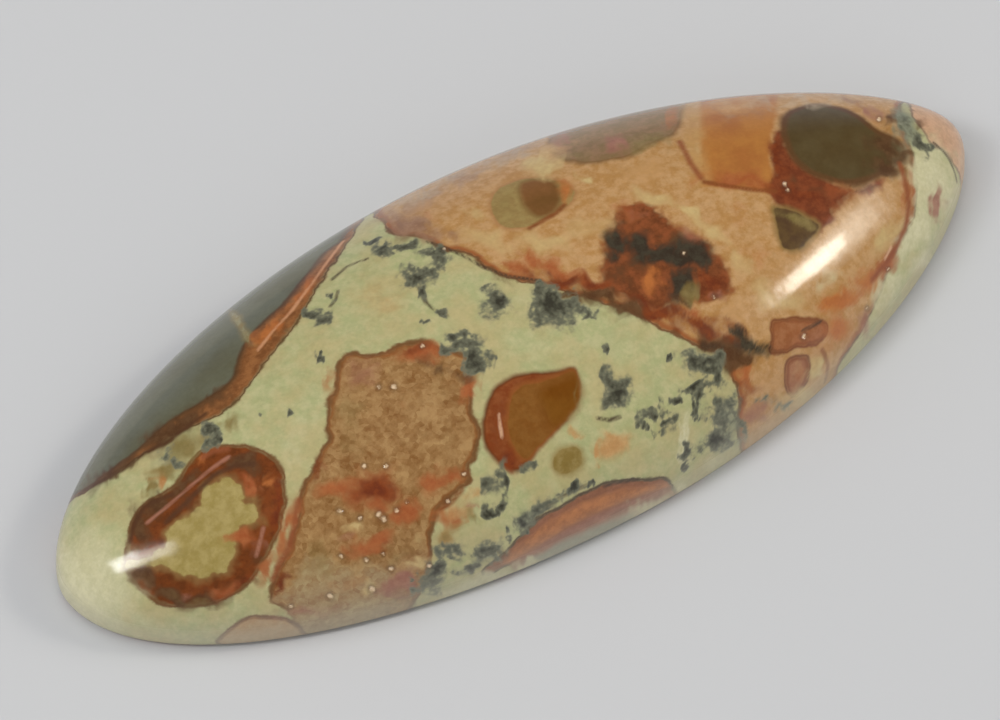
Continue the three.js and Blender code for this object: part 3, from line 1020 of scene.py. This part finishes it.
@dataclass
class Pattern:
    """Carries the pattern from the camera's pixels onto the stone, and keeps it as attributes of its mesh.

    A point faces the camera by the cosine of the angle between its normal and the way to the camera. It is
    unseen up to the first of three limits and fully seen from the second, and pixels are carried to points
    past the third. Distances are kept up to a reach, in millimetres for clasts and in radii for pits.
    """

    view: StudioView
    surface: Surface
    mesh: bpy.types.Mesh
    broad_bend: Bend = Bend(wavelength=30.0, amount=2.2, seed=3)
    fine_bend: Bend = Bend(wavelength=11.0, amount=1.2, seed=8)
    unseen_up_to: float = -0.06
    seen_from: float = 0.04
    carried_from: float = 0.02
    clast_reach: float = 1.5
    pit_reach: float = 12.0

    def __post_init__(self) -> None:
        """Finds where the camera sees each point, and how squarely it faces the camera."""
        normals = np.zeros(len(self.mesh.vertices) * 3, dtype=np.float32)
        self.mesh.vertex_normals.foreach_get("vector", normals)
        self.facing = normals.reshape(-1, 3) @ self.view.axes[2]
        self.pixels = self.view.project(self.surface.points)
        self.bent = self.fine_bend.move(self.broad_bend.move(self.pixels))
        self.seen = smooth_step(self.facing, self.unseen_up_to, self.seen_from)

    def unroll(self, outline: tuple[Pixel, ...]) -> np.ndarray:
        """Carries pixels to the unrolled plan, each by the nearest point that the camera sees.

        What is left of a pixel's way is turned by the camera's azimuth, so that a pixel beside the stone
        goes on past its edge to the side that the camera doesn't see.

        Args:
            outline: The pixels.

        Returns:
            Their places on the plan, one a row.
        """
        shown = np.flatnonzero(self.facing > self.carried_from)
        right = self.view.axes[0][:2]
        forward = np.array([-right[1], right[0]])
        places = []
        for pixel in outline:
            left_over = np.array(pixel) - self.pixels[shown]
            nearest = np.argmin((left_over**2).sum(axis=1))
            step = left_over[nearest] / self.view.pixels_per_mm
            places.append(self.surface.unrolled[shown[nearest]] + step[0] * right - step[1] * forward)
        return np.array(places)

    def store(self, name: str, values: np.ndarray) -> None:
        """Keeps one number for each of the mesh's points, under a name."""
        attribute = self.mesh.attributes.new(name, "FLOAT", "POINT")
        attribute.data.foreach_set("value", values.astype(np.float32))

    def strength(self, spots: tuple[Spot, ...]) -> np.ndarray:
        """Rates each point by the nearest of the spots, bent out of round, and as 0 where it isn't seen.

        Args:
            spots: The spots.

        Returns:
            A rating for each point.
        """
        strongest = np.zeros(len(self.pixels))
        for spot in spots:
            strongest = np.maximum(strongest, spot.nearness(self.bent))
        return strongest * self.seen

    def lay(self) -> None:
        """Stores the distances from clasts, seams and pits, and the strengths of stains and growths."""
        for clast in CLASTS:
            loop = smooth_loop(self.unroll(clast.outline))
            self.store(clast.name, signed_distance(self.surface.unrolled, loop, self.clast_reach))
        for seam in SEAMS:
            lines = [line_distance(self.surface.unrolled, self.unroll(line)) for line in seam.lines]
            self.store(seam.name, np.min(lines, axis=0))
        for stain in STAINS:
            self.store(stain.name, self.strength(stain.spots))
        self.store("growth", self.strength(GROWTHS))
        away = [np.hypot(*(self.pixels - (pit.x, pit.y)).T) / pit.radius for pit in PITS]
        nearest = np.minimum(np.min(away, axis=0), self.pit_reach)
        self.store("pit", np.where(self.seen > 0, nearest, self.pit_reach))
        self.store("seen", self.seen)


class SocketKind(Enum):
    """What a socket of a node group carries."""

    NUMBER = "NodeSocketFloat"
    COLOUR = "NodeSocketColor"
    PLACE = "NodeSocketVector"


@dataclass
class NodeBoard:
    """Adds nodes to one node tree and links them."""

    tree: bpy.types.NodeTree

    def add(self, kind: str, values: dict[str | int, Value], **settings: object) -> bpy.types.Node:
        """Adds a node.

        Args:
            kind: The node's type.
            values: What goes to its inputs, by name or number: a socket to link, or a constant.
            settings: The node's own settings.

        Returns:
            The node.
        """
        node = self.tree.nodes.new(kind)
        for name, setting in settings.items():
            setattr(node, name, setting)
        for key, value in values.items():
            if isinstance(value, Socket):
                self.tree.links.new(value, node.inputs[key])
            else:
                node.inputs[key].default_value = value
        return node

    def math(self, operation: str, first: Value, second: Value = 0.0, third: Value = 0.0) -> Socket:
        """Works out one number from up to three."""
        values = {0: first, 1: second, 2: third}
        return self.add("ShaderNodeMath", values, operation=operation).outputs[0]

    def times(self, first: Value, second: Value) -> Socket:
        """Multiplies two numbers."""
        return self.math("MULTIPLY", first, second)

    def scaled(self, value: Value, by: Value, plus: Value) -> Socket:
        """Multiplies a number by another and adds a third."""
        return self.math("MULTIPLY_ADD", value, by, plus)

    def ease(self, value: Value, low: Value, high: Value) -> Socket:
        """Eases from 0 where the value is low to 1 where it is high. High may be the smaller number."""
        values = {"Value": value, "From Min": low, "From Max": high}
        return self.add("ShaderNodeMapRange", values, interpolation_type="SMOOTHSTEP").outputs["Result"]

    def mix(self, share: Value, first: Value, second: Value, blend: str = "MIX") -> Socket:
        """Mixes two colours, from the first at 0 to the second at 1."""
        values = {0: share, 6: first, 7: second}
        return self.add("ShaderNodeMix", values, data_type="RGBA", blend_type=blend).outputs[2]

    def noise(self, place: Value, scale: float, detail: float, roughness: float = 0.5) -> Socket:
        """Makes cloudy noise from 0 to 1, with as many of its largest clouds to the millimetre as scale."""
        values = {"Vector": place, "Scale": scale, "Detail": detail, "Roughness": roughness}
        return self.add("ShaderNodeTexNoise", values).outputs[0]

    def attribute(self, name: str) -> Socket:
        """Reads one of the mesh's own numbers."""
        return self.add("ShaderNodeAttribute", {}, attribute_name=name).outputs["Fac"]

    def group(self, tree: bpy.types.NodeTree, values: dict[str | int, Value]) -> bpy.types.Node:
        """Adds a node group."""
        return self.add("ShaderNodeGroup", values, node_tree=tree)


class GroupBoard(NodeBoard):
    """A new node group with named sockets."""

    def __init__(self, name: str, takes: dict[str, SocketKind], gives: dict[str, SocketKind]) -> None:
        """Makes the group.

        Args:
            name: The group's name.
            takes: Its inputs, in order.
            gives: Its outputs, in order.
        """
        super().__init__(bpy.data.node_groups.new(name, "ShaderNodeTree"))
        for socket, kind in takes.items():
            self.tree.interface.new_socket(socket, in_out="INPUT", socket_type=kind.value)
        for socket, kind in gives.items():
            self.tree.interface.new_socket(socket, in_out="OUTPUT", socket_type=kind.value)
        self.taken = self.tree.nodes.new("NodeGroupInput").outputs
        self.given = self.tree.nodes.new("NodeGroupOutput").inputs

    def give(self, name: str, value: Socket) -> None:
        """Puts a socket out of the group."""
        self.tree.links.new(value, self.given[name])


def grain_group() -> bpy.types.NodeTree:
    """Makes the noises that every clast shares, each with its own scale and detail.

    Returns:
        A group that takes a place in millimetres and gives an uneven edge from -1 to 1, and soft clouds,
        mottling, crystals, fine specks and a slow change of tone from 0 to 1.
    """
    numbers = ("Wander", "Cloud", "Mottle", "Crystals", "Fine", "Tone")
    takes = {"Place": SocketKind.PLACE}
    board = GroupBoard("stone_grain", takes, dict.fromkeys(numbers, SocketKind.NUMBER))
    place = board.taken["Place"]
    broad = board.noise(place, scale=1.1, detail=2.0)
    narrow = board.noise(place, scale=3.4, detail=1.0)
    centred = board.scaled(narrow, by=0.4, plus=board.scaled(broad, by=1.7, plus=-1.05))
    spread = 2.4
    board.give("Wander", board.times(centred, spread))
    cloud = board.noise(place, scale=0.6, detail=4.0, roughness=0.55)
    board.give("Cloud", board.ease(cloud, low=0.36, high=0.66))
    mottle = board.noise(place, scale=2.2, detail=5.0, roughness=0.65)
    board.give("Mottle", board.ease(mottle, low=0.36, high=0.64))
    values = {"Vector": place, "Scale": 4.5}
    cells = board.add("ShaderNodeTexVoronoi", values, feature="F1").outputs["Color"]
    shade = board.add("ShaderNodeSeparateColor", {0: cells}).outputs[0]
    grit = board.noise(place, scale=4.0, detail=4.0, roughness=0.7)
    patch = board.scaled(board.noise(place, scale=1.3, detail=2.0), by=1.5, plus=-1.2)
    grains = board.scaled(shade, by=0.55, plus=patch)
    board.give("Crystals", board.scaled(grit, by=1.4, plus=grains))
    board.give("Fine", board.noise(place, scale=6.0, detail=3.0, roughness=0.6))
    board.give("Tone", board.noise(place, scale=1.7, detail=3.0, roughness=0.6))
    return board.tree


def layer_group() -> bpy.types.NodeTree:
    """Makes the group that lays one clast over what is under it.

    The edge is negative inside the clast. Its rim is full down to half the rim's width inside the edge, and
    gone at 1.3 of it.

    Returns:
        A group that takes the colour under the clast, the distance from the clast's edge and its finish,
        and gives the colour with the clast laid on.
    """
    number, colour = SocketKind.NUMBER, SocketKind.COLOUR
    takes = {"Under": colour, "Edge": number, "Wander": number, "Amount": number, "Soft": number}
    takes |= {"Grain": number, "Body": colour, "Fleck": colour, "Rim": colour, "Rim width": number}
    takes |= {"Seam": colour, "Seam width": number, "Seam strength": number}
    board = GroupBoard("clast_layer", takes, {"Colour": colour})
    taken = board.taken
    rim_gone, rim_full = -1.3, -0.5
    edge = board.scaled(taken["Wander"], by=taken["Amount"], plus=taken["Edge"])
    fill = board.mix(taken["Grain"], taken["Body"], taken["Fleck"])
    start = board.times(taken["Rim width"], rim_gone)
    full = board.times(taken["Rim width"], rim_full)
    fill = board.mix(board.ease(edge, start, full), fill, taken["Rim"])
    inner = board.times(taken["Soft"], -1.0)
    laid = board.mix(board.ease(edge, taken["Soft"], inner), taken["Under"], fill)
    width = board.times(taken["Seam width"], board.scaled(taken["Grain"], by=1.0, plus=0.7))
    line = board.ease(board.math("ABSOLUTE", edge), low=width, high=0.0)
    laid = board.mix(board.times(line, taken["Seam strength"]), laid, taken["Seam"])
    board.give("Colour", laid)
    return board.tree


def stain_group() -> bpy.types.NodeTree:
    """Makes the group that tints what is under a stain, with an uneven edge.

    Returns:
        A group that takes the colour under the stain, its strength, two noises and two colours, and gives
        the tinted colour.
    """
    number, colour = SocketKind.NUMBER, SocketKind.COLOUR
    takes = {"Under": colour, "Strength": number, "Wander": number, "Grain": number}
    board = GroupBoard("stain_layer", takes | {"Body": colour, "Fleck": colour}, {"Colour": colour})
    taken = board.taken
    fullest = 0.95
    level = board.scaled(taken["Wander"], by=0.14, plus=taken["Strength"])
    cover = board.times(board.ease(level, low=0.18, high=0.86), fullest)
    fill = board.mix(taken["Grain"], taken["Body"], taken["Fleck"])
    board.give("Colour", board.mix(cover, taken["Under"], fill))
    return board.tree


def growth_group() -> bpy.types.NodeTree:
    """Makes the group of the branching dark growths.

    Cloudy noise breaks their soft spots up into blots, and ridged noise, which is 0 along the lines where
    plain noise passes its middle, leaves twigs between the blots.

    Returns:
        A group that takes the colour under the growths, their strength and a place in millimetres, and
        gives the colour with the growths on it.
    """
    takes = {"Under": SocketKind.COLOUR, "Strength": SocketKind.NUMBER, "Place": SocketKind.PLACE}
    board = GroupBoard("dark_growth", takes, {"Colour": SocketKind.COLOUR})
    taken = board.taken
    middle = 0.5
    blot = board.noise(taken["Place"], scale=1.9, detail=2.0, roughness=0.55)
    plain = board.noise(taken["Place"], scale=2.6, detail=2.0)
    ridge = board.math("ABSOLUTE", board.math("SUBTRACT", plain, middle))
    broken = board.scaled(blot, by=1.9, plus=board.scaled(ridge, by=-1.5, plus=-0.8))
    level = board.math("ADD", taken["Strength"], broken)
    inside = board.ease(taken["Strength"], low=0.08, high=0.42)
    faint = board.times(board.ease(level, low=0.1, high=0.7), inside)
    halo = board.mix(faint, taken["Under"], GROWTH_GREY.linear)
    dark = board.times(board.ease(level, low=0.35, high=1.35), inside)
    board.give("Colour", board.mix(dark, halo, GROWTH_DARK.linear))
    return board.tree


def breccia_group() -> bpy.types.NodeTree:
    """Makes the pattern of the sides that no picture shows: warped cells, some of them clasts with a rim.

    Returns:
        A group that takes the matrix's colour, a place in millimetres and two noises, and gives the colour
        with clasts laid in it.
    """
    number, colour = SocketKind.NUMBER, SocketKind.COLOUR
    takes = {"Under": colour, "Place": SocketKind.PLACE, "Wander": number, "Grain": number}
    board = GroupBoard("hidden_breccia", takes, {"Colour": colour})
    taken = board.taken
    farthest = (2.4, 2.4, 2.4)
    clast_share, olive_share, brick_from, fleck_share = 0.55, 0.3, 0.75, 0.5
    values = {"Vector": taken["Place"], "Scale": 0.35}
    shift = board.add("ShaderNodeTexNoise", values).outputs["Color"]
    warp = board.add("ShaderNodeVectorMath", {0: shift, 1: farthest}, operation="MULTIPLY").outputs[0]
    values = {0: taken["Place"], 1: warp}
    place = board.add("ShaderNodeVectorMath", values, operation="ADD").outputs[0]
    values = {"Vector": place, "Scale": 0.21}
    cell = board.add("ShaderNodeTexVoronoi", values, feature="F1").outputs["Color"]
    gap = board.add("ShaderNodeTexVoronoi", values, feature="DISTANCE_TO_EDGE").outputs[0]
    lots = board.add("ShaderNodeSeparateColor", {0: cell}).outputs
    edge = board.scaled(taken["Wander"], by=0.02, plus=gap)
    picked = board.math("LESS_THAN", lots[0], clast_share)
    chosen = board.times(board.ease(edge, low=0.045, high=0.06), picked)
    olive = board.math("LESS_THAN", lots[1], olive_share)
    body = board.mix(olive, HIDDEN_TAN.linear, HIDDEN_OLIVE.linear)
    body = board.mix(board.math("GREATER_THAN", lots[1], brick_from), body, HIDDEN_BRICK.linear)
    body = board.mix(board.times(taken["Grain"], fleck_share), body, HIDDEN_TAN.linear)
    body = board.mix(board.ease(edge, low=0.11, high=0.065), body, HIDDEN_RIM.linear)
    board.give("Colour", board.mix(chosen, taken["Under"], body))
    return board.tree


@dataclass
class StoneMaterial:
    """The stone's one material: the layered pattern, polished above and ground matt under the base.

    The shares and covers are how much of a colour is laid on at most. Heights, from where a change is full
    to where it is gone, and the bump's depth are in millimetres. Pits are measured in their own radii.
    """

    name: str = "polished_jasper"
    polished_roughness: float = 0.13
    ground_roughness: float = 0.5
    refraction: float = 1.54
    buff_share: float = 0.55
    thinnest_line: float = 0.02
    clast_seam_cover: float = 0.85
    seam_cover: float = 0.9
    seam_fade: float = 2.4
    seam_wander: float = 0.03
    pit_shade_cover: float = 0.35
    painted_glint_cover: float = 0.9
    # The pale low band: the ground edge's own paleness and a painted sheen of the lit floor.
    low_sheen_cover: float = 0.42
    low_sheen_heights: tuple[float, float] = (0.2, 2.2)
    base_heights: tuple[float, float] = (0.02, 0.06)
    matt_heights: tuple[float, float] = (0.4, 1.8)
    shade_cover: float = 0.6
    wave_height: float = 0.25
    pit_depth: float = -0.5
    bump_depth: float = 0.05

    def matrix(self, board: NodeBoard, grain: bpy.types.Node) -> Socket:
        """Mixes the pale ground between the clasts from its three colours.

        Args:
            board: Where the nodes go.
            grain: The noises' node.

        Returns:
            The ground's colour.
        """
        pale = board.mix(grain.outputs["Mottle"], MATRIX_PALE.linear, MATRIX_GREEN.linear)
        share = board.times(grain.outputs["Cloud"], self.buff_share)
        return board.mix(share, pale, MATRIX_BUFF.linear)

    def clasts(self, board: NodeBoard, grain: bpy.types.Node, under: Socket) -> Socket:
        """Lays the clasts over one another, in the order of their list.

        Args:
            board: Where the nodes go.
            grain: The noises' node.
            under: The colour under the clasts.

        Returns:
            The colour with the clasts on it.
        """
        layer = layer_group()
        for clast in CLASTS:
            finish = clast.finish
            rim, seam = finish.rim or finish.body, finish.seam or finish.body
            values = {"Under": under, "Edge": board.attribute(clast.name)}
            values |= {"Wander": grain.outputs["Wander"], "Grain": grain.outputs[finish.grain.value]}
            values |= {"Amount": finish.wander, "Soft": finish.softness}
            values |= {"Body": finish.body.linear, "Fleck": finish.fleck.linear}
            values |= {"Rim": rim.linear, "Rim width": max(finish.rim_width, self.thinnest_line)}
            values |= {"Seam": seam.linear, "Seam width": max(finish.seam_width, self.thinnest_line)}
            values |= {"Seam strength": 0.0 if finish.seam is None else self.clast_seam_cover}
            under = board.group(layer, values).outputs["Colour"]
        return under

    def stains(self, board: NodeBoard, grain: bpy.types.Node, under: Socket) -> Socket:
        """Tints the clasts with the stains, in the order of their list.

        Args:
            board: Where the nodes go.
            grain: The noises' node.
            under: The colour under the stains.

        Returns:
            The tinted colour.
        """
        layer = stain_group()
        for stain in STAINS:
            values = {"Under": under, "Strength": board.attribute(stain.name)}
            values |= {"Wander": grain.outputs["Wander"], "Grain": grain.outputs["Mottle"]}
            values |= {"Body": stain.colour.linear, "Fleck": stain.fleck.linear}
            under = board.group(layer, values).outputs["Colour"]
        return under

    def marks(self, board: NodeBoard, grain: bpy.types.Node, place: Socket, under: Socket) -> Socket:
        """Lays the thin seams, the dark growths and the pits over the stains, with painted shade round each
        pit and a painted glint in it.

        Args:
            board: Where the nodes go.
            grain: The noises' node.
            place: The place in millimetres.
            under: The colour under the marks.

        Returns:
            The colour with the marks on it.
        """
        wander = board.times(grain.outputs["Wander"], self.seam_wander)
        for seam in SEAMS:
            away = board.math("ADD", wander, board.attribute(seam.name))
            line = board.ease(away, low=self.seam_fade * seam.half_width, high=0.0)
            share = board.times(board.times(line, self.seam_cover), board.attribute("seen"))
            under = board.mix(share, under, seam.colour.linear)
        values = {"Under": under, "Strength": board.attribute("growth"), "Place": place}
        under = board.group(growth_group(), values).outputs["Colour"]
        ragged = board.scaled(board.noise(place, scale=5.0, detail=1.0), by=1.6, plus=-0.8)
        pit = board.math("ADD", board.attribute("pit"), ragged)
        # Painted shade round each pit.
        pit_painted_shade = board.times(board.ease(pit, low=3.0, high=1.4), self.pit_shade_cover)
        under = board.mix(pit_painted_shade, under, PIT_PAINTED_SHADE.linear)
        # Painted glint: a bright speck of highlight in each pit.
        painted_glint = board.times(board.ease(pit, low=1.5, high=0.4), self.painted_glint_cover)
        return board.mix(painted_glint, under, PAINTED_GLINT.linear)

    def below(self, board: NodeBoard, height: Socket, heights: tuple[float, float]) -> Socket:
        """Gives 1 up to the first of two heights, easing to 0 at the second."""
        return board.ease(height, low=heights[1], high=heights[0])

    def pattern(self, board: NodeBoard, grain: bpy.types.Node, place: Socket, height: Socket) -> Socket:
        """Builds up the stone's colour from its ground to its ground-off base.

        Args:
            board: Where the nodes go.
            grain: The noises' node.
            place: The place in millimetres.
            height: Its height.

        Returns:
            The colour.
        """
        matrix = self.matrix(board, grain)
        values = {"Under": matrix, "Place": place, "Wander": grain.outputs["Wander"]}
        values |= {"Grain": grain.outputs["Mottle"]}
        hidden = board.group(breccia_group(), values).outputs["Colour"]
        colour = board.mix(board.attribute("seen"), hidden, matrix)
        colour = self.clasts(board, grain, colour)
        colour = self.stains(board, grain, colour)
        colour = self.marks(board, grain, place, colour)
        # Pale band low on the sides: the ground edge's own paler colour, and a painted reflection of the
        # lit floor on the flanks.
        low_sheen = board.times(self.below(board, height, self.low_sheen_heights), self.low_sheen_cover)
        colour = board.mix(low_sheen, colour, GROUND_EDGE_AND_SHEEN.linear)
        colour = board.mix(self.below(board, height, self.base_heights), colour, hidden)
        shade = board.scaled(grain.outputs["Fine"], by=0.44, plus=0.765)
        shade = board.scaled(grain.outputs["Tone"], by=0.24, plus=shade)
        grey = board.add("ShaderNodeCombineColor", {0: shade, 1: shade, 2: shade}).outputs[0]
        return board.mix(self.shade_cover, colour, grey, "MULTIPLY")

    def build(self) -> bpy.types.Material:
        """Makes the material.

        Returns:
            The material.
        """
        material = bpy.data.materials.new(self.name)
        material.use_nodes = True
        board = NodeBoard(material.node_tree)
        shader = material.node_tree.nodes["Principled BSDF"]
        values = {0: board.add("ShaderNodeTexCoord", {}).outputs["Object"], "Scale": 1.0 / MILLIMETRE}
        place = board.add("ShaderNodeVectorMath", values, operation="SCALE").outputs[0]
        height = board.add("ShaderNodeSeparateXYZ", {0: place}).outputs[2]
        grain = board.group(grain_group(), {"Place": place})
        colour = self.pattern(board, grain, place, height)
        board.tree.links.new(colour, shader.inputs["Base Color"])
        matt = self.below(board, height, self.matt_heights)
        step = self.ground_roughness - self.polished_roughness
        roughness = board.scaled(matt, by=step, plus=self.polished_roughness)
        board.tree.links.new(roughness, shader.inputs["Roughness"])
        shader.inputs["IOR"].default_value = self.refraction
        wave = board.times(board.noise(place, scale=0.9, detail=2.0), self.wave_height)
        dent = board.ease(board.attribute("pit"), low=1.6, high=0.6)
        relief = board.scaled(dent, by=self.pit_depth, plus=wave)
        values = {"Height": relief, "Distance": self.bump_depth * MILLIMETRE, "Strength": 1.0}
        board.tree.links.new(board.add("ShaderNodeBump", values).outputs[0], shader.inputs["Normal"])
        return material


@dataclass
class Cabochon:
    """The stone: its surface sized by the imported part, its pattern and its material.

    Edges sharper than the angle, in radians, stay sharp.
    """

    name: str
    node: str
    view: StudioView
    sharp_angle: float = 0.6

    def build(self) -> bpy.types.Object:
        """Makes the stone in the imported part's place.

        Returns:
            The stone's object.
        """
        low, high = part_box(self.node)
        size = (high - low) / MILLIMETRE
        surface = StoneForm(length=size.x, width=size.y, height=size.z).surface()
        mesh = surface.mesh(self.name)
        Pattern(self.view, surface, mesh).lay()
        mesh.set_sharp_from_angle(angle=self.sharp_angle)
        mesh.materials.append(StoneMaterial().build())
        stone = bpy.data.objects.new(self.name, mesh)
        bpy.context.scene.collection.objects.link(stone)
        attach(stone, "root")
        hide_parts(self.node)
        return stone


@dataclass(frozen=True)
class StripLight:
    """A long soft light, given by the directions of its two ends from the stone.

    Its thickness and its distance are in metres, and its power in watts.
    """

    name: str
    start: Direction
    end: Direction
    thickness: float
    power: float
    distance: float = 0.6
    mirrored: bool = True
    tint: tuple[float, float, float] = (1.0, 1.0, 1.0)

    def build(self) -> bpy.types.Object:
        """Makes the light: a rectangle from end to end that shines at the stone.

        Returns:
            The light object.
        """
        start, end = Vector(self.start).normalized(), Vector(self.end).normalized()
        back = (start + end).normalized()
        along = (end - start).normalized()
        lamp = bpy.data.lights.new(self.name, "AREA")
        lamp.shape = "RECTANGLE"
        lamp.size = (end - start).length * self.distance
        lamp.size_y = self.thickness
        lamp.energy = self.power
        lamp.color = self.tint
        light = bpy.data.objects.new(self.name, lamp)
        turn = Matrix([along, back.cross(along), back]).transposed()
        light.matrix_world = Matrix.Translation(back * self.distance) @ turn.to_4x4()
        light.visible_glossy = self.mirrored
        bpy.context.scene.collection.objects.link(light)
        return light


@dataclass
class Studio:
    """The plain pale floor, the light all round, and the lights.

    All that isn't mirrored is lit by an even surround. What the polish mirrors is a bluish wall, which
    fades to black from the horizon up to the height wall_top in the unit direction. The floor's side is
    in metres.
    """

    floor_size: float = 3.0
    floor_colour: Colour = Colour(204, 205, 207)
    floor_roughness: float = 0.9
    surround: LinearColour = (0.305, 0.305, 0.31, 1.0)
    wall_colour: LinearColour = (0.28, 0.32, 0.42, 1.0)
    wall_top: float = 0.45
    lights: tuple[StripLight, ...] = (
        StripLight(
            "window_right", (0.640, -0.312, 0.702), (0.750, -0.254, 0.610),
            thickness=0.075, power=0.42, tint=WARM,
        ),
        StripLight(
            "window_haze", (0.690, -0.300, 0.660), (0.820, -0.170, 0.546),
            thickness=0.14, power=0.22, tint=WARM,
        ),
        StripLight(
            "window_glow", (0.715, -0.275, 0.642), (0.845, -0.145, 0.515),
            thickness=0.23, power=0.17, tint=WARM,
        ),
        StripLight(
            "window_left", (-0.750, 0.120, 0.650), (-0.575, 0.060, 0.816),
            thickness=0.12, power=0.76,
        ),
        StripLight(
            "window_left_faint", (-0.575, 0.060, 0.816), (-0.430, -0.020, 0.902),
            thickness=0.08, power=0.2,
        ),
        StripLight(
            "soft_right", (0.630, -0.630, 0.454), (0.888, 0.078, 0.454),
            thickness=0.8, power=1.3, distance=1.0, mirrored=False,
        ),
        StripLight(
            "soft_left", (-0.871, -0.317, 0.375), (-0.464, 0.803, 0.375),
            thickness=0.8, power=1.7, distance=1.0, mirrored=False,
        ),
        StripLight(
            "soft_front", (-0.700, -0.600, 0.450), (0.100, -0.900, 0.450),
            thickness=0.5, power=1.2, distance=1.0, mirrored=False,
        ),
        StripLight(
            "soft_above", (-0.300, 0.200, 0.930), (0.300, 0.200, 0.930),
            thickness=0.6, power=1.95, distance=1.0, mirrored=False,
        ),
    )

    def lay_floor(self) -> bpy.types.Object:
        """Makes the floor: one square under the stone.

        Returns:
            The floor's object.
        """
        half = self.floor_size / 2
        corners = [(-half, -half, 0), (half, -half, 0), (half, half, 0), (-half, half, 0)]
        mesh = bpy.data.meshes.new("studio_floor")
        mesh.from_pydata(corners, [], [(0, 1, 2, 3)])
        paint = bpy.data.materials.new("studio_paper")
        paint.use_nodes = True
        shader = paint.node_tree.nodes["Principled BSDF"]
        shader.inputs["Base Color"].default_value = self.floor_colour.linear
        shader.inputs["Roughness"].default_value = self.floor_roughness
        shader.inputs["Specular IOR Level"].default_value = 0.0
        mesh.materials.append(paint)
        floor = bpy.data.objects.new("studio_floor", mesh)
        bpy.context.scene.collection.objects.link(floor)
        return floor

    def light_surround(self) -> bpy.types.World:
        """Makes the light that comes from all round.

        Returns:
            The world that gives it.
        """
        world = bpy.data.worlds.new("studio_surround")
        world.use_nodes = True
        board = NodeBoard(world.node_tree)
        toward = board.add("ShaderNodeTexCoord", {}).outputs["Generated"]
        height = board.add("ShaderNodeSeparateXYZ", {0: toward}).outputs[2]
        wall = board.mix(board.ease(height, low=self.wall_top, high=0.0), BLACK, self.wall_colour)
        mirrored = board.add("ShaderNodeLightPath", {}).outputs["Is Glossy Ray"]
        sky = board.mix(mirrored, self.surround, wall)
        board.tree.links.new(sky, world.node_tree.nodes["Background"].inputs["Color"])
        bpy.context.scene.world = world
        return world

    def build(self) -> None:
        """Makes the floor, the surrounding light and the lights."""
        self.lay_floor()
        self.light_surround()
        bpy.context.scene.view_settings.view_transform = "Standard"
        for light in self.lights:
            light.build()
            LOG.info("light %s", light.name)


def main() -> None:
    """Builds the stone, the studio and the camera."""
    logging.basicConfig(level=logging.INFO, format="%(name)s: %(message)s")
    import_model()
    view = StudioView()
    stone = Cabochon("jasper_cabochon", "cabochon", view).build()
    LOG.info("stone %s with %d faces", stone.name, len(stone.data.polygons))
    Studio().build()
    view.build()
    LOG.info("camera %.0f mm from the stone", view.distance)


if __name__ == "__main__":
    main()
